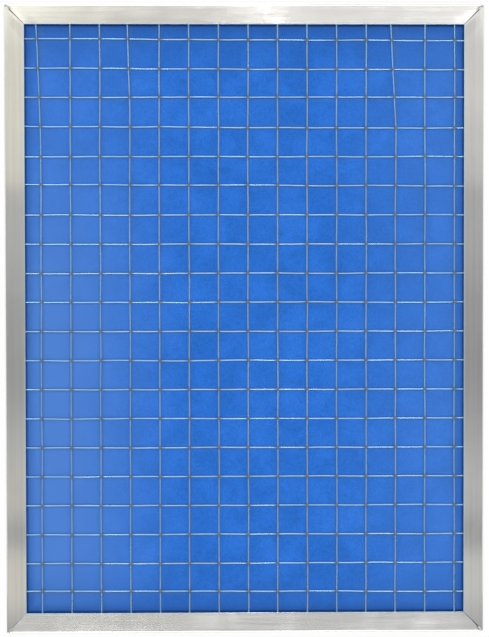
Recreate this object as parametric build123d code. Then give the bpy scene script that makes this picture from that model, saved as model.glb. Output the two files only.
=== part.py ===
"""Flat panel air filter: a blue fibre pad between two welded wire meshes, in a folded aluminium channel.

The panel lies on its rear face, with its front face up. X runs across it, Y along it and Z through it,
and the origin is under its middle. All sizes are in millimetres.
"""

import os
from math import floor

from build123d import *

# Outside of the frame
width = 415.9
length = 546.1
depth = 9.5

# Channel section: one strip of aluminium, bent to a U that opens inwards
sheet = 0.5  # thickness of the strip
flange = 17.4  # from the outside of the web to the edge of the flange
bend_radius = 1.2  # outside of the bend between web and flange
edge_radius = 0.2  # dressed edge of the flange

# Corners: the flanges are notched and mitred, and the web is folded round
corner_radius = 2.6  # outside of the folded web
mitre_inner_gap = 0.3  # slot between two flanges, at the window
mitre_outer_gap = 1.0  # the same slot, at the relief notch by the web

# Closing corner, where the two ends of the strip meet
closing_mitre_gap = 0.2
closing_end_gap = 0.4  # from the end of the outer web to the outside of the frame
tab_length = 20.0  # straight part of the tab, inside the outer web
tab_gap = 0.05  # between the tab and the web that it lies against
tab_side_gap = 0.3  # between the tab and the bends above and below it
clinch_diameter = 3.4  # recess of the press joint that holds the tab
clinch_rise = 0.5  # how far the press joint stands out from the tab
clinch_wall = 0.5

# Welded wire mesh: line wires on the outside, cross wires against the pad
wire_diameter = 1.4
line_pitch = 25.65  # between line wires, along X
cross_pitch = 25.3  # between cross wires, along Y
line_offset = 2.8  # X of the middle line wire
cross_offset = -10.35  # Y of the middle cross wire
mesh_clearance = 5.0  # from the ends of the wires to the inside of the web
seat_gap = 0.05  # between wires that are welded, and between a mesh and what it lies on

# Line wires of the front mesh that handling has bent: place from the middle one,
# cross wires above the middle one at which the bend starts, and lean of the top end
bent_wires = (
    (-7, 7, 4.1),
    (-4, 8, 2.2),
    (5, 7, 4.8),
)

# Fibre pad
pad_clearance = 3.0  # from the edge of the pad to the inside of the web
pad_edge_radius = 0.8


def channel_section():
    """U section with the outside of its web on the Z axis and its flanges towards +Y."""
    outer = RectangleRounded(2 * flange, depth, bend_radius)
    hollow = RectangleRounded(2 * (flange - sheet), depth - 2 * sheet, bend_radius - sheet)
    half = Pos(-flange / 2, 0) * Rectangle(flange, depth)
    section = (outer - hollow) & half
    section = fillet(section.vertices().group_by(Axis.X)[-1], edge_radius)
    return Plane.YZ * Pos(flange, depth / 2) * section


def end_outline(run, web_end, outer_gap, inner_gap):
    """Plan of one end of a bar, from the web inwards: relief notch, then half of the mitre."""
    return [
        (run / 2 - web_end, 0),
        (run / 2 - web_end, bend_radius),
        (run / 2 - corner_radius - outer_gap / 2, corner_radius),
        (run / 2 - flange - inner_gap / 2, flange),
    ]


def bar(run, start, end):
    """One side of the frame along X, with its web on y = 0; start and end are its end outlines."""
    plan = end + [(-x, y) for x, y in reversed(start)]
    blank = extrude(channel_section(), run / 2, both=True)
    return blank & extrude(make_face(Polyline(*plan, close=True)), depth)


def corner_web(quarter):
    """Web folded round one corner, centred on its axis; quarter 0 lies between +X and +Y."""
    height = depth - 2 * bend_radius
    ring = Cylinder(corner_radius, height) - Cylinder(corner_radius - sheet, height)
    quadrant = Pos(corner_radius, corner_radius) * Box(2 * corner_radius, 2 * corner_radius, height)
    return Pos(0, 0, depth / 2) * Rot(0, 0, 90 * quarter) * (ring & quadrant)


def closing_tab():
    """Tab from the lower bar, folded up inside the web of the left bar and clinched to it."""
    outer_face = -width / 2 + sheet + tab_gap
    fold_end = -length / 2 + corner_radius
    tab_height = depth - 2 * (bend_radius + tab_side_gap)
    fold = Pos(outer_face + corner_radius, fold_end) * corner_web(2)
    tab = Pos(outer_face + sheet / 2, fold_end + tab_length / 2, depth / 2) * Box(sheet, tab_length, tab_height)
    button_length = tab_gap + sheet + clinch_rise
    button = Cylinder(clinch_diameter / 2 + clinch_wall, button_length)
    button = Pos(outer_face - tab_gap + button_length / 2, fold_end + tab_length / 2, depth / 2) * Rot(0, 90, 0) * button
    return fold, tab, button


def clinch_recess():
    """Round recess that the press joint leaves in the outside of the left web."""
    recess_depth = 2 * sheet + tab_gap + clinch_rise - clinch_wall
    place = Pos(-width / 2 + recess_depth / 2, -length / 2 + corner_radius + tab_length / 2, depth / 2)
    return place * Rot(0, 90, 0) * Cylinder(clinch_diameter / 2, recess_depth)


def frame_channel():
    """The whole strip: four bars, three folded corners and the closing corner at the lower left."""

    def folded(run):
        return end_outline(run, corner_radius, mitre_outer_gap, mitre_inner_gap)

    def closing(run, web_end):
        return end_outline(run, web_end, closing_mitre_gap, closing_mitre_gap)

    lower = bar(width, closing(width, corner_radius + sheet + tab_gap), folded(width))
    right = bar(length, folded(length), folded(length))
    upper = bar(width, folded(width), folded(width))
    left = bar(length, folded(length), closing(length, corner_radius))
    outer_end = corner_radius - closing_end_gap
    web_end = Box(outer_end, sheet, depth - 2 * bend_radius)
    left += Pos(length / 2 - corner_radius + outer_end / 2, sheet / 2, depth / 2) * web_end

    pieces = [
        Pos(0, -length / 2) * lower,
        Pos(width / 2, 0) * Rot(0, 0, 90) * right,
        Pos(0, length / 2) * Rot(0, 0, 180) * upper,
        Pos(-width / 2, 0) * Rot(0, 0, 270) * left,
    ]
    axis_x = width / 2 - corner_radius
    axis_y = length / 2 - corner_radius
    pieces += [
        Pos(axis_x, -axis_y) * corner_web(3),
        Pos(axis_x, axis_y) * corner_web(0),
        Pos(-axis_x, axis_y) * corner_web(1),
    ]
    pieces += closing_tab()
    strip = pieces[0].fuse(*pieces[1:])
    return strip - clinch_recess()


def grid(half_span, pitch, offset):
    """Places of the wires that fit between -half_span and +half_span, as (number, place)."""
    reach = half_span - wire_diameter / 2
    first = -floor((reach + offset) / pitch)
    last = floor((reach - offset) / pitch)
    return [(number, offset + number * pitch) for number in range(first, last + 1)]


def wire(*points):
    """Round wire through two points, or through three with a slight kink at the second."""
    path = Polyline(*points)
    section = Plane(path @ 0, z_dir=path % 0) * Circle(wire_diameter / 2)
    return sweep(section, path, transition=Transition.RIGHT)


half_line = length / 2 - sheet - mesh_clearance  # half the length of a line wire
half_cross = width / 2 - sheet - mesh_clearance  # half the length of a cross wire
line_level = depth - sheet - seat_gap - wire_diameter / 2
cross_level = line_level - wire_diameter - seat_gap


def line_wires(bends=()):
    """Wires along the panel, just under the front flanges."""
    leans = {number: (start, lean) for number, start, lean in bends}
    wires = []
    for number, x in grid(half_cross, line_pitch, line_offset):
        points = [(x, -half_line, line_level), (x, half_line, line_level)]
        if number in leans:
            start, lean = leans[number]
            bend_y = cross_offset + start * cross_pitch
            points = [points[0], (x, bend_y, line_level), (x - lean, half_line, line_level)]
        wires.append(wire(*points))
    return Compound(children=wires)


def cross_wires():
    """Wires across the panel, between the line wires and the pad."""
    wires = []
    for _, y in grid(half_line, cross_pitch, cross_offset):
        wires.append(wire((-half_cross, y, cross_level), (half_cross, y, cross_level)))
    return Compound(children=wires)


def turned_over(wires):
    """The same mesh, turned over about the long axis of the panel, for the rear face."""
    return Pos(0, 0, depth / 2) * Rot(0, 180, 0) * Pos(0, 0, -depth / 2) * wires


def media_pad():
    """Fibre pad that fills the channel between the two meshes."""
    thickness = 2 * (cross_level - wire_diameter / 2 - seat_gap) - depth
    pad_width = width - 2 * (sheet + pad_clearance)
    pad_length = length - 2 * (sheet + pad_clearance)
    pad = Pos(0, 0, depth / 2) * Box(pad_width, pad_length, thickness)
    rims = pad.edges().filter_by(Plane.XY)
    return fillet(rims, min(pad_edge_radius, 0.4 * thickness))


nodes = {
    "frame_channel": frame_channel(),
    "front_line_wires": line_wires(bent_wires),
    "front_cross_wires": cross_wires(),
    "media_pad": media_pad(),
    "rear_cross_wires": turned_over(cross_wires()),
    "rear_line_wires": turned_over(line_wires()),
}
os.makedirs("parts", exist_ok=True)
for name, shape in nodes.items():
    export_step(shape, f"parts/{name}.step")
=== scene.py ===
"""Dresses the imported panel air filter: brushed channel, two welded wire meshes and a blue fibre pad.

The panel lies on its rear face on the floor, front face up. X runs across it, Y along it, Z through it.
Every length is in metres and every piece keeps its place in its mesh.
"""

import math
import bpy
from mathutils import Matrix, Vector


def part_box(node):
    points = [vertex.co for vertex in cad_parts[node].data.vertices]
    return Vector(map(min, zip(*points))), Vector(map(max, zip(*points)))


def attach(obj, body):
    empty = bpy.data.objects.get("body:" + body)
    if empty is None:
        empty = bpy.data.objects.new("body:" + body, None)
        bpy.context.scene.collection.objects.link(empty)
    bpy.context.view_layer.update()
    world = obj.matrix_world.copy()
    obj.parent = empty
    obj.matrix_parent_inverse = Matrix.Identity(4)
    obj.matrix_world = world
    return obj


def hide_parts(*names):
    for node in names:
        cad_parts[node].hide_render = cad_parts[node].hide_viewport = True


bl_info = {
    "name": "Panel air filter",
    "version": (1, 0, 0),
    "blender": (4, 5, 0),
    "location": "3D View > Sidebar > Air filter",
    "description": "Finishes the channel, welds the wire meshes, lays the fibre pad and sets the stage",
    "category": "Object",
}

import bpy
import numpy as np
from mathutils import Vector

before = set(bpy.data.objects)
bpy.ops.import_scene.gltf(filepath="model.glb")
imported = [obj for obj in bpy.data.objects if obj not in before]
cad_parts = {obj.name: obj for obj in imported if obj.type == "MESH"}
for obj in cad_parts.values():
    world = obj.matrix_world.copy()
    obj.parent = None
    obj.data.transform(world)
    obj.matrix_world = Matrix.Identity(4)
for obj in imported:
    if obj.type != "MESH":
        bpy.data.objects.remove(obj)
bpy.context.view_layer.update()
MM = 0.001


def middle(low, high):
    return (low + high) / 2


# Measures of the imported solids, from which the defaults come; the rear wires are straight and give the pitch
panel_low, panel_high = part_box("frame_channel")
rear_line_low, rear_line_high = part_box("rear_line_wires")
front_line_low, front_line_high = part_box("front_line_wires")
cross_low, cross_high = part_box("front_cross_wires")
pad_low, pad_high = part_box("media_pad")
WIDTH = panel_high.x - panel_low.x
LENGTH = panel_high.y - panel_low.y
DEPTH = panel_high.z - panel_low.z
WIRE = front_line_high.z - front_line_low.z
LINES = 15
CROSSES = 21
# Middle of the wires of the front mesh; the rear mesh is the same one turned over, so its X is reversed
LINE_OFFSET = -middle(rear_line_low.x, rear_line_high.x)
CROSS_OFFSET = middle(cross_low.y, cross_high.y)


def length_property(name, description, default):
    """Length setting, shown with its unit."""
    return bpy.props.FloatProperty(
        name=name, description=description, default=default, unit="LENGTH", precision=5
    )


def share_property(name, description, default):
    """Setting from 0 to 1."""
    return bpy.props.FloatProperty(
        name=name, description=description, default=default, min=0.0, max=1.0, subtype="FACTOR"
    )


def colour_property(name, description, default):
    """Colour setting, in linear values."""
    return bpy.props.FloatVectorProperty(
        name=name, description=description, default=default, size=3, min=0.0, max=1.0, subtype="COLOR"
    )


class ChannelFinish(bpy.types.PropertyGroup):
    """Finish of the folded aluminium channel."""

    flange: length_property("Flange", "From the outside of the web to the edge of the flange", 17.4 * MM)
    metal: colour_property("Metal", "Colour of the clean aluminium", (0.91, 0.905, 0.89))
    # Dirt and painted shade: the dark colour in the mitre gaps and in the pocket at their outer ends
    dirt_and_shade: colour_property("Grime", "Colour of the dirt in the mitres", (0.16, 0.15, 0.14))
    dirt_and_shade_cover: share_property("Grime cover", "How much of the metal the thickest dirt hides", 0.8)
    # Painted highlight: a bright lavender-white line along the edge at the window, in place of the highlight
    # on the cut edge and the reflection of the blue pad in it
    edge_highlight: colour_property("Cut edge", "Colour of the highlit edge at the window", (0.70, 0.84, 1.0))
    edge_width: length_property("Cut edge width", "Width of the highlit edge", 1.7 * MM)
    roughness: share_property("Roughness", "Roughness of the brushed face", 0.11)
    anisotropy: share_property("Brushing", "How much the brushing draws the reflections out", 1.0)
    brush_length: length_property("Streak length", "Length of a brushed streak", 70 * MM)
    brush_width: length_property("Streak width", "Width of a brushed streak", 0.6 * MM)
    brush_depth: length_property("Streak depth", "Depth of a brushed streak", 0.018 * MM)
    patch: length_property("Patch", "Size of the dull patches", 45 * MM)
    ripple: length_property("Ripple", "Height of the slow waves in the sheet", 0.16 * MM)
    dent: length_property("Dent", "Relief that folding has left beside the far mitres", 0.22 * MM)


class MeshSettings(bpy.types.PropertyGroup):
    """Sizes and finish of the welded wire meshes."""

    line_count: bpy.props.IntProperty(
        name="Line wires", description="Number of wires along the panel", default=LINES, min=2
    )
    cross_count: bpy.props.IntProperty(
        name="Cross wires", description="Number of wires across the panel", default=CROSSES, min=2
    )
    diameter: length_property("Wire", "Diameter of the wire", WIRE)
    line_pitch: length_property(
        "Line pitch", "Between line wires", (rear_line_high.x - rear_line_low.x - WIRE) / (LINES - 1)
    )
    cross_pitch: length_property(
        "Cross pitch", "Between cross wires", (cross_high.y - cross_low.y - WIRE) / (CROSSES - 1)
    )
    nugget: length_property("Weld nugget", "Half of the width of the metal squeezed out at a weld", 0.95 * MM)
    sink: length_property("Weld sink", "How far the welded wires press into each other", 0.22 * MM)
    wave: length_property("Wave", "How far a wire strays from its straight line", 0.42 * MM)
    sides: bpy.props.IntProperty(name="Sides", description="Faces round a wire", default=8, min=6)
    seed: bpy.props.IntProperty(name="Seed", description="Changes the waves of the wires", default=4)
    # Zinc with a strong blue cast, which is partly a painted reflection of the blue pad
    zinc: colour_property("Zinc", "Colour of the zinc coating", (0.285, 0.55, 0.94))
    # Scorched zinc and painted shade: the dark mark round each crossing also stands in for the shade where one
    # wire lies over the other
    weld: colour_property("Weld", "Colour of the scorched zinc at a weld", (0.20, 0.24, 0.30))
    patch: length_property("Patch", "Size of the dull patches", 90 * MM)
    draw_length: length_property("Streak length", "Length of a drawn streak", 20 * MM)
    draw_width: length_property("Streak width", "Width of a drawn streak", 4.0 * MM)
    draw_depth: length_property("Streak depth", "Depth of a drawn streak", 0.006 * MM)


class PadSettings(bpy.types.PropertyGroup):
    """Shape and colour of the fibre pad."""

    rows: bpy.props.IntProperty(
        name="Rows", description="Rows of points from one cross wire to the next", default=6, min=2
    )
    swell: length_property("Swell", "How far the pad may stand up between the cross wires", 0.9 * MM)
    pressure: bpy.props.FloatProperty(
        name="Pressure", description="Pressure of the springy fibres on the faces of the pad", default=90.0
    )
    tension: bpy.props.FloatProperty(
        name="Tension", description="Resistance of the faces to stretch", default=6.0
    )
    rounding: length_property("Rounding", "Softness of the cut edge", 0.8 * MM)
    fill: share_property("Fill", "How full the pad is", 0.3)
    fibre: colour_property("Fibre", "Colour of the fibres", (0.022, 0.156, 0.625))
    # Painted glare and paler clouds: a paler colour laid over the pad out to the sides, and at random in
    # clouds
    glared_and_paled: colour_property("Paler fibre", "Colour where handling has faded the fibres", (0.081, 0.232, 0.69))
    # Painted shade: the deeper colour that the pad takes towards the frame and the ends of the window
    deep: colour_property("Shaded fibre", "Colour where the pad dives under the frame", (0.024, 0.110, 0.42))
    shade: colour_property("Shade", "Colour in the narrow gap along the frame", (0.008, 0.030, 0.11))
    # Painted shade beside the wires: a greyer colour in a band along each wire
    wire_halo: colour_property("Halo", "Colour of the lint that the wires hold", (0.095, 0.185, 0.27))
    # Painted shade under the mitres: a dark grey on the pad where it shows through the mitre slots
    slot_shade: colour_property("Slot", "Colour of the dust under the frame", (0.10, 0.10, 0.11))
    cloud: length_property("Cloud", "Size of the paler and darker clouds", 28 * MM)
    speck: length_property("Speck", "Size of the fine specks", 0.9 * MM)


class StageSettings(bpy.types.PropertyGroup):
    """Floor, lights and camera."""

    floor: colour_property("Floor", "Colour of the floor", (0.92, 0.92, 0.92))
    floor_white: share_property("Floor white", "How far the camera sees the floor as plain white", 0.92)
    sky: bpy.props.FloatProperty(
        name="Room light", description="Strength of the light beyond the ceiling panels", default=0.42
    )
    lens: bpy.props.FloatProperty(name="Lens", description="Focal length, in millimetres", default=84.47)
    camera: bpy.props.FloatVectorProperty(
        name="Camera", description="Place of the camera", default=(-0.01829, 0.02747, 1.30748), size=3,
        unit="LENGTH", subtype="TRANSLATION",
    )
    tilt: bpy.props.FloatVectorProperty(
        name="Tilt", description="Turn of the camera", size=3, subtype="EULER",
        default=tuple(math.radians(a) for a in (-1.1713, -0.7905, -0.0885)),
    )


# Node tools, for shader trees and geometry trees alike. A span is (from, to), or (from, to, value at
# from, value at to), and most values of a noise lie in NOISE_RANGE.

NOISE_RANGE = 0.3, 0.7


def feed(tree, value, socket):
    """Links a socket to another one, or sets its value."""
    if isinstance(value, bpy.types.NodeSocket):
        tree.links.new(value, socket)
    elif value is not None:
        socket.default_value = value


class Bench:
    """Lays out the nodes of one tree."""

    def __init__(self, tree):
        self.tree = tree

    def node(self, kind, inputs=None, **settings):
        """Adds a node; inputs are given by name or by number."""
        node = self.tree.nodes.new(kind)
        for name, value in settings.items():
            setattr(node, name, value)
        for key, value in (inputs or {}).items():
            feed(self.tree, value, node.inputs[key])
        return node

    def math(self, operation, *values):
        return self.node("ShaderNodeMath", dict(enumerate(values)), operation=operation).outputs[0]

    def plus(self, first, second):
        return self.math("ADD", first, second)

    def minus(self, first, second):
        return self.math("SUBTRACT", first, second)

    def times(self, first, *others):
        """Product of the numbers, from the left."""
        for other in others:
            first = self.math("MULTIPLY", first, other)
        return first

    def divided(self, first, second):
        """First number divided by the second."""
        return self.math("DIVIDE", first, second)

    def apart(self, first, second):
        """How far two numbers are apart."""
        return self.math("ABSOLUTE", self.minus(first, second))

    def vector(self, operation, *values):
        node = self.node("ShaderNodeVectorMath", dict(enumerate(values)), operation=operation)
        return node.outputs[0]

    def scaled(self, vector, factors):
        return self.vector("MULTIPLY", vector, factors)

    def xyz(self, x=0.0, y=0.0, z=0.0):
        return self.node("ShaderNodeCombineXYZ", {0: x, 1: y, 2: z}).outputs[0]

    def parts(self, vector):
        return self.node("ShaderNodeSeparateXYZ", {0: vector}).outputs

    def blend(self, factor, first, second, mode="MIX"):
        """Mixes two colours."""
        node = self.node("ShaderNodeMix", {0: factor}, data_type="RGBA", blend_type=mode)
        feed(self.tree, first, node.inputs[6])
        feed(self.tree, second, node.inputs[7])
        return node.outputs[2]

    def toned(self, colour, tone):
        """A setting's colour, made lighter or darker by a number."""
        return self.blend(1.0, (*colour, 1.0), self.xyz(tone, tone, tone), "MULTIPLY")

    def covered(self, colour, share, cover):
        """A colour, of which a share is hidden by a setting's colour."""
        return self.blend(share, colour, (*cover, 1.0))

    def between(self, factor, first, second):
        """Mixes two numbers."""
        return self.node("ShaderNodeMix", {0: factor, 2: first, 3: second}, data_type="FLOAT").outputs[0]

    def between_vectors(self, factor, first, second):
        """Mixes two vectors."""
        return self.node("ShaderNodeMix", {0: factor, 4: first, 5: second}, data_type="VECTOR").outputs[1]

    def span(self, value, low, high, to_low=0.0, to_high=1.0):
        """Smooth ramp of a value from one range to another."""
        names = {"Value": value, "From Min": low, "From Max": high, "To Min": to_low, "To Max": to_high}
        return self.node("ShaderNodeMapRange", names, interpolation_type="SMOOTHSTEP").outputs[0]

    def span_straight(self, value, low, high):
        """Straight ramp of a value from one range to 0 to 1."""
        return self.node("ShaderNodeMapRange", {"Value": value, "From Min": low, "From Max": high}).outputs[0]

    def noise(self, vector, scale=1.0, detail=2.0, roughness=0.5, distortion=0.0):
        names = {
            "Vector": vector, "Scale": scale, "Detail": detail, "Roughness": roughness,
            "Distortion": distortion,
        }
        return self.node("ShaderNodeTexNoise", names).outputs[0]

    def group(self, tree, inputs):
        node = self.node(self.tree.bl_idname.replace("NodeTree", "NodeGroup"))
        node.node_tree = tree
        for key, value in inputs.items():
            feed(self.tree, value, node.inputs[key])
        return node.outputs


def new_tree(name, kind, inputs, outputs):
    """New node group with named sockets, as (bench, inputs by name, outputs by name)."""
    tree = bpy.data.node_groups.new(name, kind)
    for label, socket, default in inputs:
        made = tree.interface.new_socket(label, in_out="INPUT", socket_type=socket)
        if default is not None:
            made.default_value = default
    for label, socket in outputs:
        tree.interface.new_socket(label, in_out="OUTPUT", socket_type=socket)
    bench = Bench(tree)
    return bench, bench.node("NodeGroupInput").outputs, bench.node("NodeGroupOutput").inputs


def placed(name, data):
    """New object in the scene."""
    thing = bpy.data.objects.new(name, data)
    bpy.context.scene.collection.objects.link(thing)
    return thing


# Effects that more than one material uses

BROAD = (0.35, 0.16, 0.16)  # scale of the broad streaks, as a share of that of the fine ones


def streak_group(name):
    """Drawn or brushed streaks, long in X of the given coordinates."""
    bench, given, out = new_tree(
        name,
        "ShaderNodeTree",
        [
            ("Coordinates", "NodeSocketVector", None),
            ("Length", "NodeSocketFloat", 60 * MM),
            ("Fineness", "NodeSocketFloat", 0.5 * MM),
        ],
        [("Streak", "NodeSocketFloat"), ("Broad streak", "NodeSocketFloat")],
    )
    along = bench.divided(1.0, given["Length"])
    across = bench.divided(1.0, given["Fineness"])
    fine = bench.scaled(given["Coordinates"], bench.xyz(along, across, across))
    feed(bench.tree, bench.noise(fine, detail=3.0, roughness=0.6), out["Streak"])
    feed(bench.tree, bench.noise(bench.scaled(fine, BROAD)), out["Broad streak"])
    return bench.tree


def smudge_group(name):
    """Soft uneven patches with fine specks in them."""
    bench, given, out = new_tree(
        name,
        "ShaderNodeTree",
        [
            ("Coordinates", "NodeSocketVector", None),
            ("Patch", "NodeSocketFloat", 30 * MM),
            ("Speck", "NodeSocketFloat", 1.2 * MM),
        ],
        [("Patches", "NodeSocketFloat"), ("Specks", "NodeSocketFloat")],
    )
    patch = bench.noise(given["Coordinates"], bench.divided(1.0, given["Patch"]), 3.0, 0.55, 0.4)
    feed(bench.tree, patch, out["Patches"])
    speck = bench.noise(given["Coordinates"], bench.divided(1.0, given["Speck"]), 2.0, 0.7)
    feed(bench.tree, speck, out["Specks"])
    return bench.tree


def effect(bench, name, build, place, sizes):
    """Outputs of a shader group, which is built once and then shared."""
    tree = bpy.data.node_groups.get(name) or build(name)
    return bench.group(tree, {"Coordinates": place, **sizes})


def streaks(bench, place, length, width):
    return effect(bench, "Streaks", streak_group, place, {"Length": length, "Fineness": width})


def smudges(bench, place, **sizes):
    return effect(bench, "Smudges", smudge_group, place, sizes)


def edge_distances(bench, x, y, margin=0.0):
    """How far in from the sides and from the ends of the panel less a margin, and the smaller of the two."""
    from_side = bench.minus(WIDTH / 2 - margin, bench.math("ABSOLUTE", x))
    from_end = bench.minus(LENGTH / 2 - margin, bench.math("ABSOLUTE", y))
    return from_side, from_end, bench.math("MINIMUM", from_side, from_end)


# Materials


def bare_material(name):
    """Material without nodes, as (material, bench)."""
    material = bpy.data.materials.new(name)
    material.use_nodes = True
    material.node_tree.nodes.clear()
    return material, Bench(material.node_tree)


def new_material(name):
    """Material with a plain shader, as (material, bench, shader, object coordinates)."""
    material, bench = bare_material(name)
    shader = bench.node("ShaderNodeBsdfPrincipled")
    bench.node("ShaderNodeOutputMaterial", {0: shader.outputs[0]})
    return material, bench, shader, bench.node("ShaderNodeTexCoord").outputs["Object"]


def relief(bench, shader, height, strength=1.0):
    """Gives the shader the relief of a height."""
    bump = bench.node("ShaderNodeBump", {"Height": height, "Distance": 1.0, "Strength": strength})
    feed(bench.tree, bump.outputs[0], shader.inputs["Normal"])


# Dirt and painted shade in the mitres: half of its width going in from the outside, and its strength there and
# at the window
CREASE_TAPER = (4.0 * MM, 12.0 * MM, 1.5 * MM, 0.9 * MM)
CREASE_CORE = 0.2 * MM
CREASE_FADES_FROM, CREASE_OUTSIDE, CREASE_AT_WINDOW = 5.0 * MM, 0.9, 0.25
# Pocket of dirt and painted shade on an end bar, beside the outer end of a mitre: spans across the mitre and
# going inwards
POCKET_ACROSS, POCKET_END, POCKET_START = (4.2 * MM, 0.6 * MM), (6.5 * MM, 2.5 * MM), (0.2 * MM, 1.5 * MM)
# Share of the dirt and painted shade at the near corners
NEAR_RIGHT_SHARE, NEAR_LEFT_SHARE = 0.75, 0.35


def mitre_dirt_and_shade(bench, x, y, flange):
    """Dirt and painted shade along each mitre and in a pocket at its outer end, from 0 to 1."""
    from_side, from_end, inwards = edge_distances(bench, x, y)
    crease = bench.span(bench.apart(from_side, from_end), bench.span(inwards, *CREASE_TAPER), CREASE_CORE)
    strength = bench.span(inwards, CREASE_FADES_FROM, flange, CREASE_OUTSIDE, CREASE_AT_WINDOW)
    crease = bench.times(crease, strength)
    pocket = bench.span(bench.minus(from_side, from_end), *POCKET_ACROSS)
    pocket = bench.times(pocket, bench.math("LESS_THAN", from_end, from_side))
    in_and_out = bench.times(bench.span(inwards, *POCKET_END), bench.span(inwards, *POCKET_START))
    crease = bench.math("MAXIMUM", crease, bench.times(pocket, in_and_out))
    near = bench.between(bench.span(x, 0.0, -WIDTH / 4), NEAR_RIGHT_SHARE, NEAR_LEFT_SHARE)
    return bench.times(crease, bench.between(bench.span(y, 0.0, LENGTH / 4), near, 1.0))


FOLD_TONE = (0.2 * MM, 0.8 * MM, 0.84, 1.0)  # the web and its fold are duller than the flange
# Painted highlight along the edge at the window: the share of it, from the window, that is fully bright
HIGHLIGHT_CORE = 0.45  # part of the dressed edge, from the window, that is fully bright
STREAK_ROUGHNESS = 0.02  # by which a streak is rougher or smoother
PATCH_ROUGHNESS = (0.45, 0.75, 0.0, 0.03)
QUARTER_TURN = 0.25
RIPPLES = (9.0, 22.0, 22.0)  # to the metre, along and across the bar
DENT_STARTS, DENT_ACROSS = 1.0 * MM, (15.0 * MM, 2.0 * MM)


def channel_material(look):
    """Aluminium brushed along each bar, with dirt and painted shade in the mitres and a painted highlight
    along the edge at the window.
    """
    material, bench, shader, place = new_material("Brushed aluminium")
    x, y, z = bench.parts(place)
    from_side, from_end, inwards = edge_distances(bench, x, y)
    end_bar = bench.math("LESS_THAN", from_end, from_side)
    along_bar = bench.between_vectors(end_bar, bench.xyz(y, x, z), place)
    brushed = streaks(bench, along_bar, look.brush_length, look.brush_width)
    patches = smudges(bench, along_bar, Patch=look.patch)["Patches"]

    # Band of the painted highlight along the edge at the window
    edge = bench.span(inwards, look.flange - look.edge_width, look.flange - look.edge_width * HIGHLIGHT_CORE)
    tone = bench.times(
        bench.span(brushed["Broad streak"], *NOISE_RANGE, 0.93, 1.0),
        bench.span(patches, *NOISE_RANGE, 0.95, 1.0),
        bench.span(inwards, *FOLD_TONE),
    )
    # Dirt and painted shade along the mitres
    dirt_and_shade = bench.times(mitre_dirt_and_shade(bench, x, y, look.flange), look.dirt_and_shade_cover)
    metal = bench.covered(bench.toned(look.metal, tone), dirt_and_shade, look.dirt_and_shade)
    # Painted highlight: the edge at the window is paler and less metallic, so that it shows as a bright line
    metal = bench.covered(metal, edge, look.edge_highlight)
    feed(bench.tree, metal, shader.inputs["Base Color"])
    feed(bench.tree, bench.between(edge, 1.0, 0.85), shader.inputs["Metallic"])
    rough = bench.span(brushed["Streak"], *NOISE_RANGE, -STREAK_ROUGHNESS, STREAK_ROUGHNESS)
    rough = bench.plus(bench.plus(look.roughness, rough), bench.span(patches, *PATCH_ROUGHNESS))
    feed(bench.tree, rough, shader.inputs["Roughness"])
    shader.inputs["Anisotropic"].default_value = look.anisotropy
    shader.inputs["Anisotropic Rotation"].default_value = QUARTER_TURN
    grooves = bench.between_vectors(end_bar, (0.0, 1.0, 0.0), (1.0, 0.0, 0.0))
    feed(bench.tree, grooves, shader.inputs["Tangent"])

    ripple = bench.times(bench.noise(bench.scaled(along_bar, RIPPLES), 1.0, 1.0), look.ripple)
    height = bench.plus(ripple, bench.times(brushed["Streak"], look.brush_depth))
    dent = bench.times(
        bench.span(inwards, DENT_STARTS, look.flange),
        bench.span(bench.apart(from_side, from_end), *DENT_ACROSS),
        bench.times(bench.span(y, 0.0, LENGTH / 4), look.dent),
    )
    relief(bench, shader, bench.plus(height, dent))
    return material


ZINC_TONE = (0.35, 0.7, 0.82, 1.0)
ZINC_ROUGHNESS, WELD_ROUGHNESS = (0.35, 0.65, 0.38, 0.24), 0.6
ZINC_METALLIC, WELD_METALLIC = 0.9, 0.55


def wire_material(look):
    """Zinc coated wire: drawn streaks, dull scorched zinc with painted shade at each weld."""
    material, bench, shader, place = new_material("Zinc coated wire")
    weld = bench.node("ShaderNodeAttribute", attribute_name="weld").outputs["Fac"]
    patches = smudges(bench, place, Patch=look.patch)["Patches"]
    drawn = streaks(bench, place, look.draw_length, look.draw_width)["Streak"]
    # Zinc with a blue cast that is partly a painted reflection of the blue pad
    zinc = bench.toned(look.zinc, bench.span(patches, *ZINC_TONE))
    # Scorched zinc and painted shade round each weld
    feed(bench.tree, bench.covered(zinc, weld, look.weld), shader.inputs["Base Color"])
    feed(bench.tree, bench.between(weld, ZINC_METALLIC, WELD_METALLIC), shader.inputs["Metallic"])
    rough = bench.between(weld, bench.span(patches, *ZINC_ROUGHNESS), WELD_ROUGHNESS)
    feed(bench.tree, rough, shader.inputs["Roughness"])
    relief(bench, shader, bench.times(drawn, look.draw_depth))
    return material


# Directions, in degrees, in which the fibres of the mat lie over each other
FIBRE_TURNS = (14.0, 57.0, 95.0, 128.0, 163.0)
FIBRE_WIDTH, FIBRE_LENGTH, FIBRE_DEPTH = 0.9 * MM, 7.0 * MM, 0.09 * MM
FIBRE_BAND = 0.045  # how far from its middle the noise still makes a fibre
SPECK_DEPTH = 0.10 * MM


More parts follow.
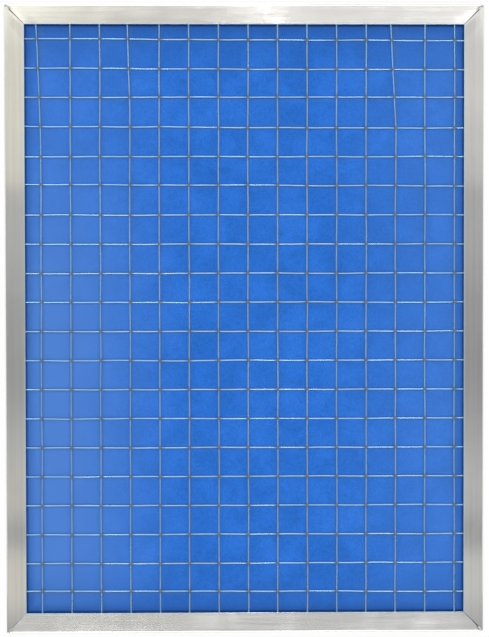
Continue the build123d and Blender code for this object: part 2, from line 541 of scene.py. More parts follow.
def fibre_layers(bench, place):
    """Long curly fibres lying over each other, from 0 between them to 1 on them."""
    layers = 0.0
    for turn in FIBRE_TURNS:
        turned = bench.node(
            "ShaderNodeVectorRotate", {"Vector": place, "Angle": math.radians(turn)}, rotation_type="Z_AXIS"
        ).outputs[0]
        spot = bench.scaled(turned, (1.0 / FIBRE_LENGTH, 1.0 / FIBRE_WIDTH, 1.0 / FIBRE_LENGTH))
        wavy = bench.noise(bench.vector("ADD", spot, (turn, 0.0, 0.0)), 1.0, 1.0, 0.5, 0.5)
        layers = bench.math("MAXIMUM", layers, bench.span(bench.apart(wavy, 0.5), FIBRE_BAND, 0.0))
    return layers


def beside_wires(bench, place, offset, pitch):
    """Distance from the nearest of the wires that lie side by side."""
    turns = bench.divided(bench.minus(place, offset), pitch)
    return bench.times(bench.apart(turns, bench.math("ROUND", turns)), pitch)


# Painted glare, which pales the pad: out to the left, less so at the far end, and a little out to the right
GLARE_LEFT, GLARE_NEAR = (-40 * MM, -175 * MM), (230 * MM, -20 * MM, 0.35, 1.0)
GLARE_RIGHT, GLARE_RIGHT_SHARE = (60 * MM, 185 * MM), 0.4
# Share of the paler colour in random clouds, which are not glare
PALE_CLOUDS = (0.45, 0.75, 0.0, 0.10)
# Share of the painted shade, a deeper colour, going out to the frame, and over the last rows at each end
SHADE_TOWARDS_FRAME, SHADE_TOWARDS_ENDS = (11 * MM, 0.0, 0.0, 0.5), (50 * MM, 6 * MM, 0.0, 0.42)
# Band of painted shade beside the wires
HALO_BY_WIRE = (3.6 * MM, 1.2 * MM, 0.0, 0.24)
SHADE_AT_FRAME = (2.2 * MM, 0.6 * MM, 0.0, 0.55)
# Painted shade below the flange, a dark grey that lies under the mitres only
SLOT_SHADE_BELOW, SLOT_SHADE_ACROSS = (-0.5 * MM, -1.5 * MM), (4.0 * MM, 2.0 * MM)


def pad_material(look, flange, wires_along, wires_across):
    """Blue fibre mat: curly fibres; painted shade deepens its tone towards the frame, greys it beside the
    wires and darkens it under the mitres, and painted glare pales it out to the sides.
    """
    material, bench, shader, place = new_material("Blue fibre")
    x, y, z = bench.parts(place)
    from_side, from_end, inwards = edge_distances(bench, x, y, flange)
    clouds = smudges(bench, place, Patch=look.cloud, Speck=look.speck)
    fibres = fibre_layers(bench, place)
    tone = bench.times(
        bench.span(clouds["Patches"], 0.25, 0.75, 0.90, 1.10),
        bench.span(clouds["Specks"], *NOISE_RANGE, 0.92, 1.08),
        bench.between(fibres, 0.88, 1.22),
    )
    colour = bench.toned(look.fibre, tone)
    # Painted glare out to the sides, with random paler clouds
    glare_and_clouds = bench.plus(
        bench.times(bench.span(x, *GLARE_LEFT), bench.span(y, *GLARE_NEAR)),
        bench.times(bench.span(x, *GLARE_RIGHT), GLARE_RIGHT_SHARE),
    )
    glare_and_clouds = bench.plus(glare_and_clouds, bench.span(clouds["Patches"], *PALE_CLOUDS))
    colour = bench.covered(colour, bench.math("MINIMUM", glare_and_clouds, 1.0), look.glared_and_paled)
    # Painted shade towards the frame and towards the ends of the window
    deep = bench.plus(bench.span(inwards, *SHADE_TOWARDS_FRAME), bench.span(from_end, *SHADE_TOWARDS_ENDS))
    colour = bench.covered(colour, deep, look.deep)
    # 1 on the front face and -1 on the rear one, where the line wires lie mirrored in X
    face = bench.math("SIGN", bench.minus(z, middle(pad_low.z, pad_high.z)))
    by_line = beside_wires(bench, bench.times(x, face), *wires_along)
    by_cross = beside_wires(bench, y, *wires_across)
    # Painted shade beside the wires, which greys the pad along them
    wire_halo = bench.span(bench.math("MINIMUM", by_line, by_cross), *HALO_BY_WIRE)
    colour = bench.covered(colour, wire_halo, look.wire_halo)
    colour = bench.covered(colour, bench.span(inwards, *SHADE_AT_FRAME), look.shade)
    # Painted shade under the mitres, seen through their slots
    mitre = bench.span(bench.apart(from_side, from_end), *SLOT_SHADE_ACROSS)
    colour = bench.covered(colour, bench.times(bench.span(inwards, *SLOT_SHADE_BELOW), mitre), look.slot_shade)
    feed(bench.tree, colour, shader.inputs["Base Color"])
    shader.inputs["Roughness"].default_value = 0.9
    shader.inputs["Specular IOR Level"].default_value = 0.15
    height = bench.plus(bench.times(fibres, FIBRE_DEPTH), bench.times(clouds["Specks"], SPECK_DEPTH))
    relief(bench, shader, height, 0.7)
    return material


# Welded wire mesh

# Line wires that handling has bent: wire from the left, height at which the bend starts, lean of the top
LEANING_LINES = ((0, 164.0, -4.1), (3, 189.0, -2.2), (12, 164.0, -4.8))
# Cross wires that sit askew: wire from the bottom, rise of the left end, rise of the right end
ASKEW_CROSSES = (
    (20, 0.8, -0.8), (19, 0.7, -0.8), (18, 0.8, 0.8), (17, 0.8, -0.7), (15, 1.3, -0.3), (1, 1.4, -0.2),
)
POINTS_PER_PITCH = 8
CROWDING = 0.85  # how strongly the points of a wire crowd round the welds
# Waves of the line wires and of the cross wires: where in the noise they are read, and how long they are
LINE_WAVES, CROSS_WAVES = (11.0, 70 * MM), (47.0, 60 * MM)
WIRE_STEP, SEED_STEP = 3.7, 7.31  # how far apart in the noise two wires lie, and two seeds
WAVE_GAIN = 4.0  # brings the noise, less its middle, to about -1 to 1
# Reach of the scorch and the painted shade round a weld
SCORCH_AND_SHADE_REACH = 1.9  # of the wire's diameter
NUGGET_FACES = {"Segments": 8, "Rings": 5}
NUGGET_SHAPE = (1.0, 1.0, 0.8)
NUGGET_SIZES = 0.8, 1.15  # smallest and largest, as a share of the setting


def stored(bench, geometry, name, value):
    """Stores a number at each point under a name."""
    return bench.node(
        "GeometryNodeStoreNamedAttribute", {"Geometry": geometry, "Name": name, "Value": value},
        data_type="FLOAT", domain="POINT",
    ).outputs[0]


def moved(bench, points, offset):
    return bench.node("GeometryNodeSetPosition", {"Geometry": points, "Offset": offset}).outputs[0]


def joined(bench, first, second):
    join = bench.node("GeometryNodeJoinGeometry")
    bench.tree.links.new(first, join.inputs[0])
    bench.tree.links.new(second, join.inputs[0])
    return join.outputs[0]


def row(bench, count, pitch, offset, level, length, step, across):
    """Straight wires side by side, numbered, each cut into pieces that suit the step between its welds."""
    first = bench.minus(offset, bench.times(pitch, bench.times(bench.minus(count, 1.0), 0.5)))
    half = bench.times(length, 0.5)
    back = bench.times(half, -1.0)
    if across:
        start, stride = bench.xyz(0.0, first, level), bench.xyz(0.0, pitch, 0.0)
        ends = {"Start": bench.xyz(back), "End": bench.xyz(half)}
    else:
        start, stride = bench.xyz(first, 0.0, level), bench.xyz(pitch, 0.0, 0.0)
        ends = {"Start": bench.xyz(0.0, back), "End": bench.xyz(0.0, half)}
    points = bench.node(
        "GeometryNodeMeshLine", {"Count": count, "Start Location": start, "Offset": stride}
    ).outputs[0]
    points = stored(bench, points, "number", bench.node("GeometryNodeInputIndex").outputs[0])
    wire = bench.node("GeometryNodeCurvePrimitiveLine", ends).outputs[0]
    pieces = bench.math("ROUND", bench.times(bench.divided(length, step), POINTS_PER_PITCH))
    wire = bench.node("GeometryNodeResampleCurve", {"Curve": wire, "Count": pieces}).outputs[0]
    laid = bench.node("GeometryNodeInstanceOnPoints", {"Points": points, "Instance": wire}).outputs[0]
    return bench.node("GeometryNodeRealizeInstances", {0: laid}).outputs[0]


def crowd(bench, along, step, offset):
    """Moves a place along the wire towards the nearest weld."""
    turns = bench.divided(bench.minus(along, offset), step)
    pull = bench.math("SINE", bench.times(turns, 2 * math.pi))
    return bench.times(pull, bench.times(step, -CROWDING / (2 * math.pi)))


def stray(bench, along, number, given, waves):
    """Sideways wave of a wire."""
    salt, wave_length = waves
    seed = bench.times(given["Seed"], SEED_STEP)
    spot = bench.xyz(bench.divided(along, wave_length), bench.times(number, WIRE_STEP), seed)
    wave = bench.noise(bench.vector("ADD", spot, (salt, 0.0, 0.0)), 1.0, 2.0, 0.6)
    return bench.times(bench.minus(wave, 0.5), bench.times(given["Wave"], WAVE_GAIN))


def chosen(bench, number, wire, value):
    """The value on one wire, and nothing on the others."""
    return bench.times(bench.math("COMPARE", number, wire, 0.5), value)


def weld_mark(bench, wires, others, place, diameter):
    """Stores how near each point of the wires is to a weld."""
    skeleton = bench.node("GeometryNodeCurveToMesh", {"Curve": others}).outputs[0]
    near = bench.node(
        "GeometryNodeProximity", {"Geometry": skeleton, "Sample Position": place}, target_element="EDGES"
    ).outputs["Distance"]
    return stored(bench, wires, "weld", bench.span(near, bench.times(diameter, SCORCH_AND_SHADE_REACH), diameter))


def nuggets(bench, given, side, rise):
    """The metal squeezed out at each crossing, which moves with both of its wires."""
    crossings = bench.node("GeometryNodeMeshGrid", {
        "Size X": bench.times(given["Line pitch"], bench.minus(given["Line count"], 1.0)),
        "Size Y": bench.times(given["Cross pitch"], bench.minus(given["Cross count"], 1.0)),
        "Vertices X": given["Line count"], "Vertices Y": given["Cross count"],
    }).outputs[0]
    level = bench.times(bench.plus(given["Line level"], given["Cross level"]), 0.5)
    crossings = moved(bench, crossings, bench.xyz(given["Line offset"], given["Cross offset"], level))
    index = bench.node("GeometryNodeInputIndex").outputs[0]
    line_number = bench.math("FLOOR", bench.divided(index, given["Cross count"]))
    cross_number = bench.math("FLOORED_MODULO", index, given["Cross count"])
    for number, offset in ((line_number, bench.xyz(side)), (cross_number, bench.xyz(0.0, rise))):
        crossings = moved(bench, stored(bench, crossings, "number", number), offset)
    bead = bench.node("GeometryNodeMeshUVSphere", {**NUGGET_FACES, "Radius": given["Nugget"]}).outputs[0]
    bead = bench.node("GeometryNodeTransform", {"Geometry": bead, "Scale": NUGGET_SHAPE}).outputs[0]
    bead = stored(bench, bead, "weld", 1.0)
    size = bench.node("FunctionNodeRandomValue", {"Seed": given["Seed"]}, data_type="FLOAT")
    size.inputs[2].default_value, size.inputs[3].default_value = NUGGET_SIZES
    beads = bench.node(
        "GeometryNodeInstanceOnPoints", {"Points": crossings, "Instance": bead, "Scale": size.outputs[1]}
    ).outputs[0]
    return bench.node("GeometryNodeRealizeInstances", {0: beads}).outputs[0]


def mesh_inputs():
    """Named inputs of the mesh tree, as (name, kind, default)."""
    lengths = ("Wire diameter", "Line pitch", "Cross pitch", "Line length", "Cross length", "Line offset",
               "Cross offset", "Line level", "Cross level", "Wave", "Panel depth", "Nugget")
    inputs = [(name, "NodeSocketFloat", 0.0) for name in lengths]
    inputs += [(name, "NodeSocketInt", 0) for name in ("Line count", "Cross count", "Sides", "Seed")]
    inputs += [("Turned over", "NodeSocketBool", False), ("Material", "NodeSocketMaterial", None)]
    for kind, wires, ends in (
        ("Lean", LEANING_LINES, ("start", "top")), ("Askew", ASKEW_CROSSES, ("left", "right"))
    ):
        for number in range(1, len(wires) + 1):
            inputs += [(f"{kind} {number} wire", "NodeSocketInt", 0)]
            inputs += [(f"{kind} {number} {end}", "NodeSocketFloat", 0.0) for end in ends]
    return inputs


def mesh_tree():
    """Geometry tree of a welded mesh: wires by count and pitch, with their waves, leans and welds."""
    bench, given, out = new_tree(
        "Welded wire mesh", "GeometryNodeTree", mesh_inputs(), [("Geometry", "NodeSocketGeometry")]
    )
    bench.tree.is_modifier = True
    place = bench.node("GeometryNodeInputPosition").outputs[0]
    x, y, _ = bench.parts(place)
    number = bench.node("GeometryNodeInputNamedAttribute", {"Name": "number"}, data_type="FLOAT").outputs[0]

    lines = row(bench, given["Line count"], given["Line pitch"], given["Line offset"], given["Line level"],
                given["Line length"], given["Cross pitch"], across=False)
    crowded = crowd(bench, y, given["Cross pitch"], given["Cross offset"])
    lines = moved(bench, lines, bench.xyz(0.0, crowded))
    side = stray(bench, y, number, given, LINE_WAVES)
    for lean in range(1, len(LEANING_LINES) + 1):
        end = bench.times(given["Line length"], 0.5)
        bend = bench.span_straight(y, given[f"Lean {lean} start"], end)
        bend = bench.times(bend, given[f"Lean {lean} top"])
        side = bench.plus(side, chosen(bench, number, given[f"Lean {lean} wire"], bend))
    lines = moved(bench, lines, bench.xyz(side))

    crosses = row(bench, given["Cross count"], given["Cross pitch"], given["Cross offset"],
                  given["Cross level"], given["Cross length"], given["Line pitch"], across=True)
    crowded = crowd(bench, x, given["Line pitch"], given["Line offset"])
    crosses = moved(bench, crosses, bench.xyz(crowded))
    rise = stray(bench, x, number, given, CROSS_WAVES)
    share = bench.plus(bench.divided(x, given["Cross length"]), 0.5)
    for askew in range(1, len(ASKEW_CROSSES) + 1):
        lift = bench.between(share, given[f"Askew {askew} left"], given[f"Askew {askew} right"])
        rise = bench.plus(rise, chosen(bench, number, given[f"Askew {askew} wire"], lift))
    crosses = moved(bench, crosses, bench.xyz(0.0, rise))

    diameter = given["Wire diameter"]
    wires = joined(bench, weld_mark(bench, crosses, lines, place, diameter),
                   weld_mark(bench, lines, crosses, place, diameter))
    radius = bench.times(diameter, 0.5)
    ring = bench.node(
        "GeometryNodeCurvePrimitiveCircle", {"Resolution": given["Sides"], "Radius": radius}
    ).outputs[0]
    solid = bench.node(
        "GeometryNodeCurveToMesh", {"Curve": wires, "Profile Curve": ring, "Fill Caps": True}
    ).outputs[0]
    solid = joined(bench, nuggets(bench, given, side, rise), solid)
    over = bench.xyz(0.0, bench.times(given["Turned over"], math.pi))
    shift = bench.xyz(0.0, 0.0, bench.times(given["Turned over"], given["Panel depth"]))
    solid = bench.node(
        "GeometryNodeTransform", {"Geometry": solid, "Rotation": over, "Translation": shift}
    ).outputs[0]
    smooth = bench.node("GeometryNodeSetShadeSmooth", {"Geometry": solid}).outputs[0]
    whole = bench.node("GeometryNodeRealizeInstances", {0: smooth}).outputs[0]
    final = bench.node("GeometryNodeSetMaterial", {"Geometry": whole, "Material": given["Material"]})
    feed(bench.tree, final.outputs[0], out["Geometry"])
    return bench.tree


def grow(name, tree, values):
    """Plain mesh object made by a geometry tree."""
    seedling = placed(name + "_tree", bpy.data.meshes.new(name + "_tree"))
    modifier = seedling.modifiers.new("Tree", "NODES")
    modifier.node_group = tree
    sockets = {
        item.name: item.identifier
        for item in tree.interface.items_tree
        if item.item_type == "SOCKET" and item.in_out == "INPUT"
    }
    for label, value in values.items():
        modifier[sockets[label]] = value
    bpy.context.view_layer.update()
    shape = bpy.data.meshes.new_from_object(seedling.evaluated_get(bpy.context.evaluated_depsgraph_get()))
    seedling.modifiers.remove(modifier)
    bpy.data.objects.remove(seedling)
    shape.name = name
    return placed(name, shape)


# Fibre pad

PAD_SEED = 11
LUMP_DEPTH, LUMP_CELLS = 0.06 * MM, 60  # hollows between the tufts, and their number along each side
LOOSENESS, LOOSE_SPREAD, LOOSE_CELLS = 0.8, 0.2, 19  # share of the swelling that the fibres follow
EDGE_DROP = 0.6  # how far the rounded edge drops, as a share of the rounding
SHEAR_SHARE = 3  # the faces resist shear this many times less than stretch
SWELL_FRAMES = 20


def soft_noise(rng, shape, cells):
    """Smooth random field over a grid, from -1 to 1."""
    coarse = rng.uniform(-1.0, 1.0, (cells + 3, cells + 3))
    u = np.linspace(0, cells, shape[0])[:, None]
    v = np.linspace(0, cells, shape[1])[None, :]
    i, j = u.astype(int), v.astype(int)
    fu, fv = u - i, v - j
    fu, fv = fu * fu * (3 - 2 * fu), fv * fv * (3 - 2 * fv)
    top = coarse[i, j] * (1 - fv) + coarse[i, j + 1] * fv
    low = coarse[i + 1, j] * (1 - fv) + coarse[i + 1, j + 1] * fv
    return top * (1 - fu) + low * fu


def closed_faces(across, along):
    """Faces of a grid of points, of the same grid under it, and of the wall round the two."""
    top = np.arange((across + 1) * (along + 1)).reshape(across + 1, along + 1)
    under = top + top.size
    rim = np.concatenate([top[:, 0], top[-1, 1:], top[-2::-1, -1], top[0, -2:0:-1]])
    next_rim = np.roll(rim, -1)
    return np.concatenate([
        np.stack([top[:-1, :-1], top[1:, :-1], top[1:, 1:], top[:-1, 1:]], axis=-1).reshape(-1, 4),
        np.stack([under[:-1, :-1], under[:-1, 1:], under[1:, 1:], under[1:, :-1]], axis=-1).reshape(-1, 4),
        np.stack([rim, rim + top.size, next_rim + top.size, next_rim], axis=-1),
    ])


def pad_piece(look, meshes, flange):
    """Closed pad that a cloth simulation swells between the cross wires on both faces."""
    step = meshes.cross_pitch / look.rows
    first = math.ceil((pad_low.y + step / 4 - CROSS_OFFSET) / step)
    last = math.floor((pad_high.y - step / 4 - CROSS_OFFSET) / step)
    ys = np.array([pad_low.y, *(CROSS_OFFSET + step * np.arange(first, last + 1)), pad_high.y])
    across, along = round((pad_high.x - pad_low.x) / step), len(ys) - 1
    xs = np.linspace(pad_low.x, pad_high.x, across + 1)
    x, y = np.meshgrid(xs, ys, indexing="ij")
    inwards = np.minimum(np.minimum(x - pad_low.x, pad_high.x - x), np.minimum(y - pad_low.y, pad_high.y - y))
    round_off = np.clip(1 - inwards / look.rounding, 0.0, 1.0)
    rng = np.random.default_rng(PAD_SEED)
    points, looseness = [], []
    for face, level in ((1.0, pad_high.z), (-1.0, pad_low.z)):
        lumps = LUMP_DEPTH * soft_noise(rng, x.shape, LUMP_CELLS)
        z = level - face * (look.rounding * EDGE_DROP * round_off + np.abs(lumps))
        points.append(np.stack([x, y, z], axis=-1).reshape(-1, 3))
        looseness.append((LOOSENESS + LOOSE_SPREAD * soft_noise(rng, x.shape, LOOSE_CELLS)).ravel())
    points, looseness = np.concatenate(points), np.concatenate(looseness)
    shape = bpy.data.meshes.new("fibre_pad")
    shape.from_pydata(points.tolist(), [], closed_faces(across, along).tolist())
    shape.polygons.foreach_set("use_smooth", [True] * len(shape.polygons))
    shape.update()
    piece = placed("fibre_pad", shape)

    # Each cross wire holds the row of points under it, and the frame holds all that it covers
    turns = (points[:, 1] - CROSS_OFFSET) / meshes.cross_pitch
    from_wire = np.abs(turns - np.round(turns)) * meshes.cross_pitch
    in_window = (np.abs(points[:, 0]) < WIDTH / 2 - flange) & (np.abs(points[:, 1]) < LENGTH / 2 - flange)
    held = np.nonzero((from_wire < step / 4) | ~in_window)[0]
    swell(piece, points, held, looseness, look)
    return piece


def swell(piece, points, held, looseness, look):
    """Lets pressure swell the pad with the held points fixed, and keeps what the simulation moved."""
    scene = bpy.context.scene
    group = piece.vertex_groups.new(name="held")
    group.add(held.tolist(), 1.0, "REPLACE")
    cloth = piece.modifiers.new("Cloth", "CLOTH")
    cloth.settings.vertex_group_mass = group.name
    cloth.settings.use_pressure = True
    cloth.settings.uniform_pressure_force = look.pressure
    cloth.settings.effector_weights.gravity = 0.0
    cloth.settings.tension_stiffness = look.tension
    cloth.settings.compression_stiffness = look.tension
    cloth.settings.shear_stiffness = look.tension / SHEAR_SHARE
    for number in range(1, SWELL_FRAMES + 1):
        scene.frame_set(number)
    evaluated = piece.evaluated_get(bpy.context.evaluated_depsgraph_get())
    swollen = np.empty(points.size)
    evaluated.data.vertices.foreach_get("co", swollen)
    lifted = (swollen.reshape(-1, 3) - points) * looseness[:, None]
    lifted = look.swell * np.tanh(lifted / look.swell)
    piece.modifiers.remove(cloth)
    piece.vertex_groups.remove(group)
    scene.frame_set(1)
    piece.data.vertices.foreach_set("co", (points + lifted).ravel())
    piece.data.update()


# Stage

FLOOR_REACH, FLOOR_GAP = 4.0, 0.1 * MM  # half of the side of the floor, and the air under the panel
PANEL_MIDDLE = Vector((0.0, 0.0, 0.0))
# Softboxes, which face the middle of the panel: place, size and radiance
LAMPS = (
    ("far_softbox", (0.0, 1.45, 1.8), (1.6, 1.0), 2.9),
    ("near_softbox", (0.0, -1.45, 1.8), (1.6, 1.0), 2.9),
    ("left_softbox", (-2.0, 0.0, 1.3), (1.4, 1.0), 0.8),
    ("right_softbox", (2.0, 0.0, 1.3), (1.4, 1.0), 0.8),
)
# Ceiling panels. The slope of the line of sight from the panel is u to the right and v to the far end.
# Brightness of the panels from the near end to the far one, as (v, brightness)
PANELS_ALONG = (
    (-0.235, 0.36), (-0.208, 0.68), (-0.178, 0.64), (-0.172, 0.38), (-0.158, 0.38), (-0.148, 0.57),
    (-0.125, 0.55), (-0.08, 0.40), (-0.05, 0.37), (-0.01, 0.39), (0.03, 0.48), (0.066, 0.47), (0.070, 0.70),
    (0.12, 0.77), (0.165, 0.74), (0.185, 0.80), (0.24, 0.95), (0.40, 1.05),
)
# Share of that brightness from left to right, over the far panels, as (u, share)
PANELS_ACROSS = (
    (-0.16, 1.6), (-0.125, 1.12), (-0.10, 0.84), (-0.05, 0.46), (-0.03, 0.42), (0.0, 0.66), (0.045, 1.02),
    (0.066, 0.98), (0.10, 1.05), (0.16, 1.35),
)
FAR_PANELS = (0.165, 0.185)  # v at which they begin
# Share of the brightness on the right, and in a duller band that crosses it
RIGHT_FROM, RIGHT_SHARE, BAND_SHARE = (-0.02, 0.10), 0.90, 0.78
BAND_END, BAND_START = (0.13, 0.105), (0.055, 0.07)
# Strip light along the far panels: its middle, half of its width, where it starts and how bright it is
STRIP_MIDDLE, STRIP_HALF, STRIP_START, STRIP_LEVEL = 0.026, 0.013, 0.34, 15.0
STRIP_FADE = 0.05
RAMP_REACH, RAMP_TOP = 0.5, 2.0  # largest slope and brightness on a ramp
CEILING_END = (0.5, 0.9)  # slopes over which the ceiling gives way to the room light
LOWEST_RISE = 0.05  # keeps the slopes finite
# The bright panels are warm, and more so on the left
WARM_LEVELS, WARM_SIDES = (0.4, 0.7), (0.06, -0.08, 0.3, 1.0)
WARM = (1.0, 0.97, 0.865)
COOL = (0.985, 0.99, 1.0)
LOWER_DOWN = (0.30, 0.20)  # rise of the line of sight below which the pale background begins


def ramp(bench, value, stops):
    """Straight ramp through the stops."""
    node = bench.node("ShaderNodeValToRGB", {0: bench.span_straight(value, -RAMP_REACH, RAMP_REACH)})
    marks = node.color_ramp.elements
    while len(marks) > 1:
        marks.remove(marks[-1])
    for number, (slope, level) in enumerate(stops):
        share = (slope + RAMP_REACH) / (2 * RAMP_REACH)
        mark = marks.new(share) if number else marks[0]
        if not number:
            mark.position = share
        grey = level / RAMP_TOP
        mark.color = (grey, grey, grey, 1.0)
    return bench.times(node.outputs[0], RAMP_TOP)


def ceiling(bench, look):
    """Colour and strength of the soft panels overhead, and where the pale background lies below them."""
    x, y, z = bench.parts(bench.node("ShaderNodeTexCoord").outputs["Generated"])
    height = bench.math("MAXIMUM", z, LOWEST_RISE)
    u, v = bench.divided(x, height), bench.divided(y, height)
    across = bench.between(bench.span(v, *FAR_PANELS), 1.0, ramp(bench, u, PANELS_ACROSS))
    level = bench.times(ramp(bench, v, PANELS_ALONG), across)
    band = bench.times(bench.span(v, *BAND_END), bench.span(v, *BAND_START))
    right = bench.between(band, RIGHT_SHARE, BAND_SHARE)
    level = bench.times(level, bench.between(bench.span(u, *RIGHT_FROM), 1.0, right))
    strip = bench.span(bench.apart(u, STRIP_MIDDLE), STRIP_HALF * 1.5, STRIP_HALF * 0.5)
    strip = bench.times(strip, bench.span(v, STRIP_START, STRIP_START + STRIP_FADE))
    level = bench.plus(level, bench.times(strip, STRIP_LEVEL))
    away = bench.math("MAXIMUM", bench.math("ABSOLUTE", u), bench.math("ABSOLUTE", v))
    strength = bench.between(bench.span(away, *CEILING_END), level, look.sky)
    warmth = bench.times(bench.span(strength, *WARM_LEVELS), bench.span(u, *WARM_SIDES))
    tint = bench.blend(warmth, (*COOL, 1.0), (*WARM, 1.0))
    return tint, strength, bench.span(z, *LOWER_DOWN)


def seen_directly(bench, mirrored=1.0):
    """1 for rays from the camera and through glass, and the given share for rays from metal."""
    path = bench.node("ShaderNodeLightPath").outputs
    seen = bench.math("MAXIMUM", path["Is Camera Ray"], path["Is Transmission Ray"])
    return bench.math("MAXIMUM", seen, bench.times(path["Is Glossy Ray"], mirrored))


def mixed(bench, share, first, second):
    """Mixes the light of two shader nodes."""
    both = {0: share, 1: first.outputs[0], 2: second.outputs[0]}
    return bench.node("ShaderNodeMixShader", both).outputs[0]


def floor_material(look):
    """Pale floor that looks white and still takes the shadow."""
    material, bench = bare_material("Pale floor")
    matte = bench.node("ShaderNodeBsdfDiffuse", {0: (*look.floor, 1.0)})
    white = bench.node("ShaderNodeEmission", {0: (1.0, 1.0, 1.0, 1.0), 1: 1.0})
    share = bench.times(seen_directly(bench), look.floor_white)
    bench.node("ShaderNodeOutputMaterial", {0: mixed(bench, share, matte, white)})
    return material


def lay_floor(look):
    """Square floor under the panel."""
    level = panel_low.z - FLOOR_GAP
    corners = [(x * FLOOR_REACH, y * FLOOR_REACH, level) for x, y in ((-1, -1), (1, -1), (1, 1), (-1, 1))]
    shape = bpy.data.meshes.new("floor")
    shape.from_pydata(corners, [], [(0, 1, 2, 3)])
    floor = placed("floor", shape)
    shape.materials.append(floor_material(look))


def light_room(look):
    """World that lights the panel from the ceiling and shows as white."""
    world = bpy.data.worlds.new("Room")
    bpy.context.scene.world = world
    world.use_nodes = True
    world.node_tree.nodes.clear()
    bench = Bench(world.node_tree)
    tint, strength, lower_down = ceiling(bench, look)
    panels = bench.node("ShaderNodeBackground", {0: tint, 1: strength})
    white = bench.node("ShaderNodeBackground", {0: (1.0, 1.0, 1.0, 1.0), 1: 1.0})
    seen = seen_directly(bench, lower_down)
    bench.node("ShaderNodeOutputWorld", {0: mixed(bench, seen, panels, white)})


def hang_softbox(name, spot, size, radiance):
    """Softbox that faces the middle of the panel."""
    wide, deep = size
    lamp = bpy.data.lights.new(name, "AREA")
    lamp.shape = "RECTANGLE"
    lamp.size, lamp.size_y = wide, deep
    lamp.energy = radiance * wide * deep * math.pi
    softbox = placed(name, lamp)
    softbox.location = spot
    softbox.rotation_euler = (PANEL_MIDDLE - Vector(spot)).to_track_quat("-Z", "Y").to_euler()
    softbox.visible_camera = False


def set_camera(look):
    """Camera of the scene."""
    lens = bpy.data.cameras.new("camera")
    lens.lens = look.lens
    lens.sensor_width = 36.0
    lens.clip_end = 50.0
    camera = placed("camera", lens)
    camera.location = look.camera
    camera.rotation_euler = look.tilt
    bpy.context.scene.camera = camera


# Operators, one for each step


class FILTER_OT_finish_channel(bpy.types.Operator):
    """Brushes the folded aluminium channel"""

    bl_idname = "panel_filter.finish_channel"
    bl_label = "Finish the channel"

    def execute(self, context):
        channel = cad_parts["frame_channel"]
        material = channel_material(context.scene.panel_filter_channel)
        channel.data.materials.clear()
        channel.data.materials.append(material)
        return {"FINISHED"}


class FILTER_OT_weld_meshes(bpy.types.Operator):
    """Makes the front and the rear wire mesh"""

    bl_idname = "panel_filter.weld_meshes"
    bl_label = "Weld the meshes"

    def execute(self, context):
        look = context.scene.panel_filter_meshes
        tree = mesh_tree()
        values = {
            "Line count": look.line_count, "Cross count": look.cross_count,
            "Wire diameter": look.diameter, "Line pitch": look.line_pitch, "Cross pitch": look.cross_pitch,
            "Line length": front_line_high.y - front_line_low.y, "Cross length": cross_high.x - cross_low.x,
            "Line offset": LINE_OFFSET, "Cross offset": CROSS_OFFSET,
            "Line level": middle(front_line_low.z, front_line_high.z) - look.sink,
            "Cross level": middle(cross_low.z, cross_high.z),
            "Wave": look.wave, "Panel depth": DEPTH, "Nugget": look.nugget, "Sides": look.sides,
            "Material": wire_material(look),
        }
        for side, over in (("front", False), ("rear", True)):
            values["Turned over"] = over
            values["Seed"] = look.seed + over
            for number, (wire, start, top) in enumerate(LEANING_LINES, 1):
                values[f"Lean {number} wire"] = wire
                values[f"Lean {number} start"] = start * MM
                values[f"Lean {number} top"] = 0.0 if over else top * MM
            for number, (wire, left, right) in enumerate(ASKEW_CROSSES, 1):
                values[f"Askew {number} wire"] = wire
                values[f"Askew {number} left"] = 0.0 if over else left * MM
                values[f"Askew {number} right"] = 0.0 if over else right * MM
            piece = grow(f"{side}_mesh", tree, values)
            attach(piece, "root")
            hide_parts(f"{side}_line_wires", f"{side}_cross_wires")
        return {"FINISHED"}


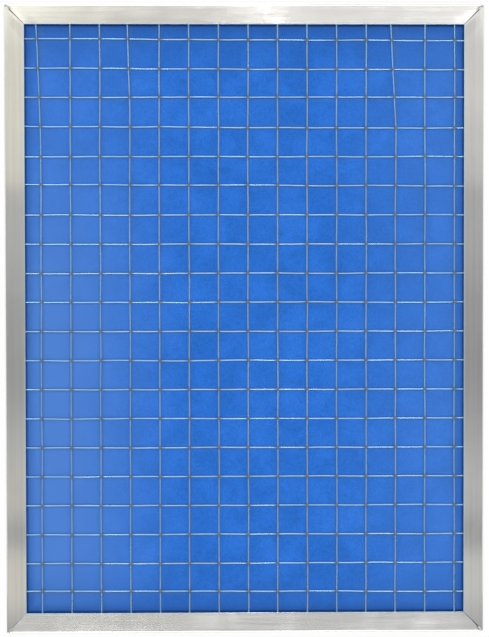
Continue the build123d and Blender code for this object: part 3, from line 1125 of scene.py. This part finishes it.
class FILTER_OT_lay_pad(bpy.types.Operator):
    """Lays the fibre pad between the meshes"""

    bl_idname = "panel_filter.lay_pad"
    bl_label = "Lay the pad"

    def execute(self, context):
        look = context.scene.panel_filter_pad
        meshes = context.scene.panel_filter_meshes
        flange = context.scene.panel_filter_channel.flange
        piece = pad_piece(look, meshes, flange)
        wires_along = (LINE_OFFSET, meshes.line_pitch)
        wires_across = (CROSS_OFFSET, meshes.cross_pitch)
        piece.data.materials.append(pad_material(look, flange, wires_along, wires_across))
        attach(piece, "root")
        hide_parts("media_pad")
        return {"FINISHED"}


class FILTER_OT_set_stage(bpy.types.Operator):
    """Sets up the floor, the soft lamps, the room light and the camera"""

    bl_idname = "panel_filter.set_stage"
    bl_label = "Set the stage"

    def execute(self, context):
        look = context.scene.panel_filter_stage
        lay_floor(look)
        light_room(look)
        for lamp in LAMPS:
            hang_softbox(*lamp)
        set_camera(look)
        context.scene.view_settings.view_transform = "Standard"
        return {"FINISHED"}


class FILTER_PT_tools(bpy.types.Panel):
    """Lists the steps that dress the filter"""

    bl_idname = "FILTER_PT_tools"
    bl_label = "Air filter"
    bl_space_type = "VIEW_3D"
    bl_region_type = "UI"
    bl_category = "Air filter"

    def draw(self, context):
        for step in STEPS:
            self.layout.operator(step.bl_idname)


STEPS = (FILTER_OT_finish_channel, FILTER_OT_weld_meshes, FILTER_OT_lay_pad, FILTER_OT_set_stage)
SETTINGS = {
    "panel_filter_channel": ChannelFinish,
    "panel_filter_meshes": MeshSettings,
    "panel_filter_pad": PadSettings,
    "panel_filter_stage": StageSettings,
}


def register():
    for kind in (*SETTINGS.values(), *STEPS, FILTER_PT_tools):
        bpy.utils.register_class(kind)
    for name, kind in SETTINGS.items():
        setattr(bpy.types.Scene, name, bpy.props.PointerProperty(type=kind))


def unregister():
    for name in SETTINGS:
        delattr(bpy.types.Scene, name)
    for kind in (FILTER_PT_tools, *reversed(STEPS), *reversed(SETTINGS.values())):
        bpy.utils.unregister_class(kind)


def main():
    register()
    bpy.ops.panel_filter.finish_channel()
    bpy.ops.panel_filter.weld_meshes()
    bpy.ops.panel_filter.lay_pad()
    bpy.ops.panel_filter.set_stage()


if __name__ == "__main__":
    main()
